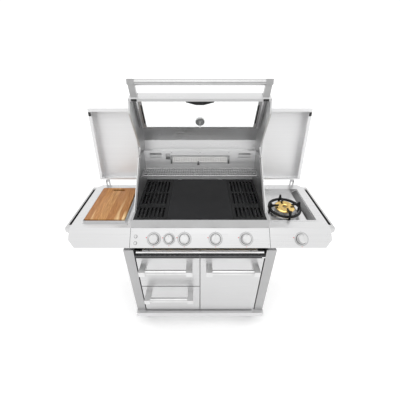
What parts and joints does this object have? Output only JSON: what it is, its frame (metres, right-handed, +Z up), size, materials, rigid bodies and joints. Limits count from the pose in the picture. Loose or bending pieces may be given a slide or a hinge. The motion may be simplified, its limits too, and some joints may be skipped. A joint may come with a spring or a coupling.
{
  "type": "gas barbecue grill",
  "caption": "Cabinet gas barbecue grill with hinged hood and window, drawers, door, slotted plates, wok side burner and cutting board.",
  "frame": {"origin": "middle of the bounding box in plan, on the ground under the caster wheels", "axes": "+X to the right of a person standing at the control panel, +Y away from them, +Z up"},
  "size_m": [1.582, 0.8152, 1.5838],
  "materials": {
    "steel": "brushed",
    "dark_steel": "satin",
    "cast_iron": "matt enamel",
    "brass": "satin",
    "wood": "oiled",
    "glass": "clear",
    "rubber": "matt",
    "ceramic": "matt",
    "chrome": "polished",
    "aluminium": "satin"
  },
  "bodies": {
    "root": {"base_plinth": "steel", "cabinet_sides": "steel", "cabinet_back": "steel", "cabinet_liner": "steel", "front_rail": "dark_steel", "drawer_runners": "dark_steel", "firebox_shell": "steel", "rear_wall": "steel", "control_panel": "steel", "knob_bezels": "aluminium", "valve_manifold": "brass", "main_burners": "dark_steel", "flame_tamers": "dark_steel", "rear_burner": "ceramic", "shelf_left": "steel", "shelf_right": "steel", "side_rails": "aluminium", "side_burner_tray": "dark_steel", "side_burner": "aluminium", "burner_cap": "brass", "lid_hinge_brackets": "steel", "fasteners": "chrome", "caster_mounts": "dark_steel"},
    "hood": {"hood_shell": "steel", "hood_ends": "steel", "hood_glass": "glass", "hood_handle": "steel", "thermometer": "chrome"},
    "lid_left": {"lid_left": "steel"},
    "lid_right": {"lid_right": "steel"},
    "drawer_upper": {"drawer_upper_box": "steel", "drawer_upper_front": "steel", "drawer_upper_handle": "steel"},
    "drawer_lower": {"drawer_lower_box": "steel", "drawer_lower_front": "steel", "drawer_lower_handle": "steel"},
    "door": {"door_panel": "steel", "door_handle": "steel"},
    "drip_tray": {"drip_tray": "steel"},
    "knob_burner_1": {"knob_burner_1": "aluminium"},
    "knob_rear_burner": {"knob_rear_burner": "aluminium"},
    "knob_burner_2": {"knob_burner_2": "aluminium"},
    "knob_burner_3": {"knob_burner_3": "aluminium"},
    "knob_burner_4": {"knob_burner_4": "aluminium"},
    "knob_side_burner": {"knob_side_burner": "aluminium"},
    "button_ignition": {"button_ignition": "aluminium"},
    "button_light": {"button_light": "aluminium"},
    "caster_fork_left": {"caster_fork_left": "dark_steel"},
    "caster_fork_right": {"caster_fork_right": "dark_steel"},
    "wheel_front_left": {"wheel_front_left": "rubber"},
    "wheel_front_right": {"wheel_front_right": "rubber"},
    "wheel_rear_left": {"wheel_rear_left": "rubber"},
    "wheel_rear_right": {"wheel_rear_right": "rubber"},
    "grill_left": {"grill_left": "cast_iron"},
    "hotplate": {"hotplate": "cast_iron"},
    "grill_right": {"grill_right": "cast_iron"},
    "warming_rack": {"warming_rack": "chrome"},
    "prep_tray": {"prep_tray": "steel"},
    "cutting_board": {"cutting_board": "wood"},
    "pan_support": {"pan_support": "cast_iron"}
  },
  "joints": [
    {"name": "hood_hinge", "type": "hinge", "parent": "root", "child": "hood", "pos_m": [0, 0.193, 1.027], "axis": [-1, 0, 0], "range_deg": [-103, 0]},
    {"name": "lid_left_hinge", "type": "hinge", "parent": "root", "child": "lid_left", "pos_m": [-0.58, 0.277, 0.879], "axis": [-1, 0, 0], "range_deg": [-99, 0]},
    {"name": "lid_right_hinge", "type": "hinge", "parent": "root", "child": "lid_right", "pos_m": [0.58, 0.277, 0.879], "axis": [-1, 0, 0], "range_deg": [-99, 0]},
    {"name": "drawer_upper_slide", "type": "slide", "parent": "root", "child": "drawer_upper", "axis": [0, -1, 0], "range_m": [0, 0.38]},
    {"name": "drawer_lower_slide", "type": "slide", "parent": "root", "child": "drawer_lower", "axis": [0, -1, 0], "range_m": [0, 0.38]},
    {"name": "door_hinge", "type": "hinge", "parent": "root", "child": "door", "pos_m": [0.376, -0.316, 0.42], "axis": [0, 0, 1], "range_deg": [0, 100]},
    {"name": "drip_tray_slide", "type": "slide", "parent": "root", "child": "drip_tray", "axis": [0, -1, 0], "range_m": [0, 0.34]},
    {"name": "knob_burner_1_turn", "type": "hinge", "parent": "root", "child": "knob_burner_1", "pos_m": [-0.267, -0.28315, 0.80873], "axis": [0, -0.6761, 0.7368], "range_deg": [0, 180]},
    {"name": "knob_rear_burner_turn", "type": "hinge", "parent": "root", "child": "knob_rear_burner", "pos_m": [-0.179, -0.28315, 0.80873], "axis": [0, -0.6761, 0.7368], "range_deg": [0, 180]},
    {"name": "knob_burner_2_turn", "type": "hinge", "parent": "root", "child": "knob_burner_2", "pos_m": [-0.09, -0.28315, 0.80873], "axis": [0, -0.6761, 0.7368], "range_deg": [0, 180]},
    {"name": "knob_burner_3_turn", "type": "hinge", "parent": "root", "child": "knob_burner_3", "pos_m": [0.09, -0.28315, 0.80873], "axis": [0, -0.6761, 0.7368], "range_deg": [0, 180]},
    {"name": "knob_burner_4_turn", "type": "hinge", "parent": "root", "child": "knob_burner_4", "pos_m": [0.267, -0.28315, 0.80873], "axis": [0, -0.6761, 0.7368], "range_deg": [0, 180]},
    {"name": "knob_side_burner_turn", "type": "hinge", "parent": "root", "child": "knob_side_burner", "pos_m": [0.587, -0.28315, 0.80873], "axis": [0, -0.6761, 0.7368], "range_deg": [0, 180]},
    {"name": "button_ignition_press", "type": "slide", "parent": "root", "child": "button_ignition", "axis": [0, 0.6761, -0.7368], "range_m": [0, 0.003], "stiffness_N_per_m": 400},
    {"name": "button_light_press", "type": "slide", "parent": "root", "child": "button_light", "axis": [0, 0.6761, -0.7368], "range_m": [0, 0.003], "stiffness_N_per_m": 400},
    {"name": "caster_left_swivel", "type": "hinge", "parent": "root", "child": "caster_fork_left", "pos_m": [-0.392, -0.27, 0.13], "axis": [0, 0, 1], "continuous": true},
    {"name": "wheel_front_left_spin", "type": "hinge", "parent": "caster_fork_left", "child": "wheel_front_left", "pos_m": [-0.392, -0.248, 0.045], "axis": [1, 0, 0], "continuous": true},
    {"name": "wheel_rear_left_spin", "type": "hinge", "parent": "root", "child": "wheel_rear_left", "pos_m": [-0.392, 0.212, 0.045], "axis": [1, 0, 0], "continuous": true},
    {"name": "caster_right_swivel", "type": "hinge", "parent": "root", "child": "caster_fork_right", "pos_m": [0.392, -0.27, 0.13], "axis": [0, 0, 1], "continuous": true},
    {"name": "wheel_front_right_spin", "type": "hinge", "parent": "caster_fork_right", "child": "wheel_front_right", "pos_m": [0.392, -0.248, 0.045], "axis": [1, 0, 0], "continuous": true},
    {"name": "wheel_rear_right_spin", "type": "hinge", "parent": "root", "child": "wheel_rear_right", "pos_m": [0.392, 0.212, 0.045], "axis": [1, 0, 0], "continuous": true},
    {"name": "grill_left_lift", "type": "slide", "parent": "root", "child": "grill_left", "axis": [0, 0, 1], "range_m": [0, 0.1]},
    {"name": "hotplate_lift", "type": "slide", "parent": "root", "child": "hotplate", "axis": [0, 0, 1], "range_m": [0, 0.1]},
    {"name": "grill_right_lift", "type": "slide", "parent": "root", "child": "grill_right", "axis": [0, 0, 1], "range_m": [0, 0.1]},
    {"name": "warming_rack_lift", "type": "slide", "parent": "root", "child": "warming_rack", "axis": [0, 0, 1], "range_m": [0, 0.1]},
    {"name": "prep_tray_lift", "type": "slide", "parent": "root", "child": "prep_tray", "axis": [0, 0, 1], "range_m": [0, 0.12]},
    {"name": "cutting_board_lift", "type": "slide", "parent": "prep_tray", "child": "cutting_board", "axis": [0, 0, 1], "range_m": [0, 0.1]},
    {"name": "pan_support_lift", "type": "slide", "parent": "root", "child": "pan_support", "axis": [0, 0, 1], "range_m": [0, 0.1]}
  ]
}
